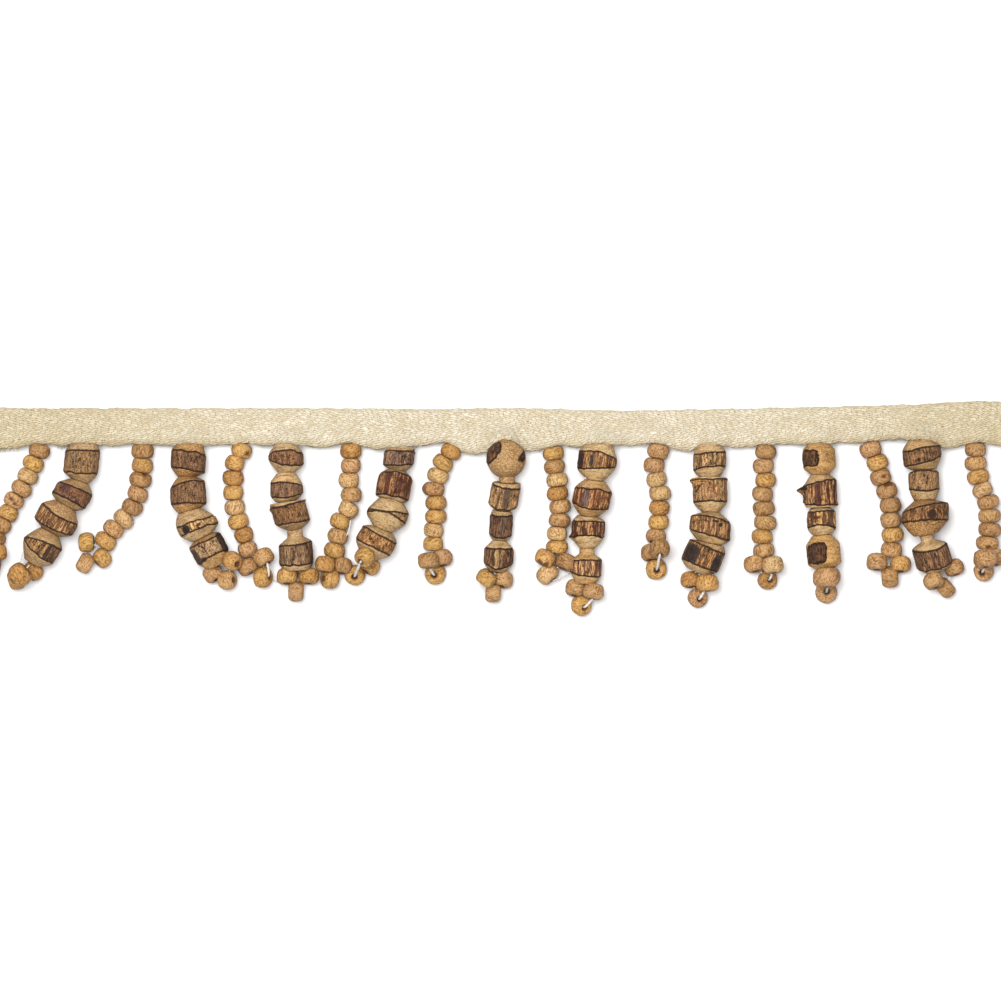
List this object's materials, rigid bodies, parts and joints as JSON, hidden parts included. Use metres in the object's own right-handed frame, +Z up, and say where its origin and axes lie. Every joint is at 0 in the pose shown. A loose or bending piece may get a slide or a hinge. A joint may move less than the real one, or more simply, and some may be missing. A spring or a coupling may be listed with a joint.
{
  "type": "beaded fringe trim",
  "caption": "Cream cotton tape, folded lengthwise, with strands of small round wooden beads and of bark beads hanging from its edge, laid flat.",
  "frame": {"origin": "middle of the trim's outline seen from above, on the flat back it lies on", "axes": "+X along the tape, +Y from the strands' ends towards the tape's fold, +Z up from the back the trim lies on"},
  "size_m": [0.2986, 0.0628, 0.0132],
  "materials": {
    "tape": "matt herringbone weave",
    "small_beads": "plain turned wood, on white cotton thread",
    "bark_beads": "raw bark, with turned pale ends"
  },
  "bodies": {
    "root": {"header_tape": "tape", "small_strand_01": "small_beads", "small_strand_03": "small_beads", "small_strand_05": "small_beads", "small_strand_07": "small_beads", "small_strand_09": "small_beads", "small_strand_11": "small_beads", "small_strand_13": "small_beads", "small_strand_15": "small_beads", "small_strand_17": "small_beads", "small_strand_19": "small_beads", "thread_and_picot_02": "small_beads", "thread_and_picot_04": "small_beads", "thread_and_picot_06": "small_beads", "thread_and_picot_08": "small_beads", "thread_and_picot_10": "small_beads", "thread_and_picot_12": "small_beads", "thread_and_picot_14": "small_beads", "thread_and_picot_16": "small_beads", "thread_and_picot_18": "small_beads", "bark_bead_02_1": "bark_beads", "bark_bead_02_2": "bark_beads", "bark_bead_02_3": "bark_beads", "bark_bead_02_4": "bark_beads", "bark_bead_04_1": "bark_beads", "bark_bead_04_2": "bark_beads", "bark_bead_04_3": "bark_beads", "bark_bead_04_4": "bark_beads", "bark_bead_06_1": "bark_beads", "bark_bead_06_2": "bark_beads", "bark_bead_06_3": "bark_beads", "bark_bead_06_4": "bark_beads", "bark_bead_08_1": "bark_beads", "bark_bead_08_2": "bark_beads", "bark_bead_08_3": "bark_beads", "bark_bead_08_4": "bark_beads", "bark_bead_10_1": "bark_beads", "bark_bead_10_2": "bark_beads", "bark_bead_10_3": "bark_beads", "bark_bead_10_4": "bark_beads", "bark_bead_12_1": "bark_beads", "bark_bead_12_2": "bark_beads", "bark_bead_12_3": "bark_beads", "bark_bead_12_4": "bark_beads", "bark_bead_14_1": "bark_beads", "bark_bead_14_2": "bark_beads", "bark_bead_14_3": "bark_beads", "bark_bead_14_4": "bark_beads", "bark_bead_16_1": "bark_beads", "bark_bead_16_2": "bark_beads", "bark_bead_16_3": "bark_beads", "bark_bead_16_4": "bark_beads", "bark_bead_18_1": "bark_beads", "bark_bead_18_2": "bark_beads", "bark_bead_18_3": "bark_beads", "bark_bead_18_4": "bark_beads"}
  },
  "joints": []
}
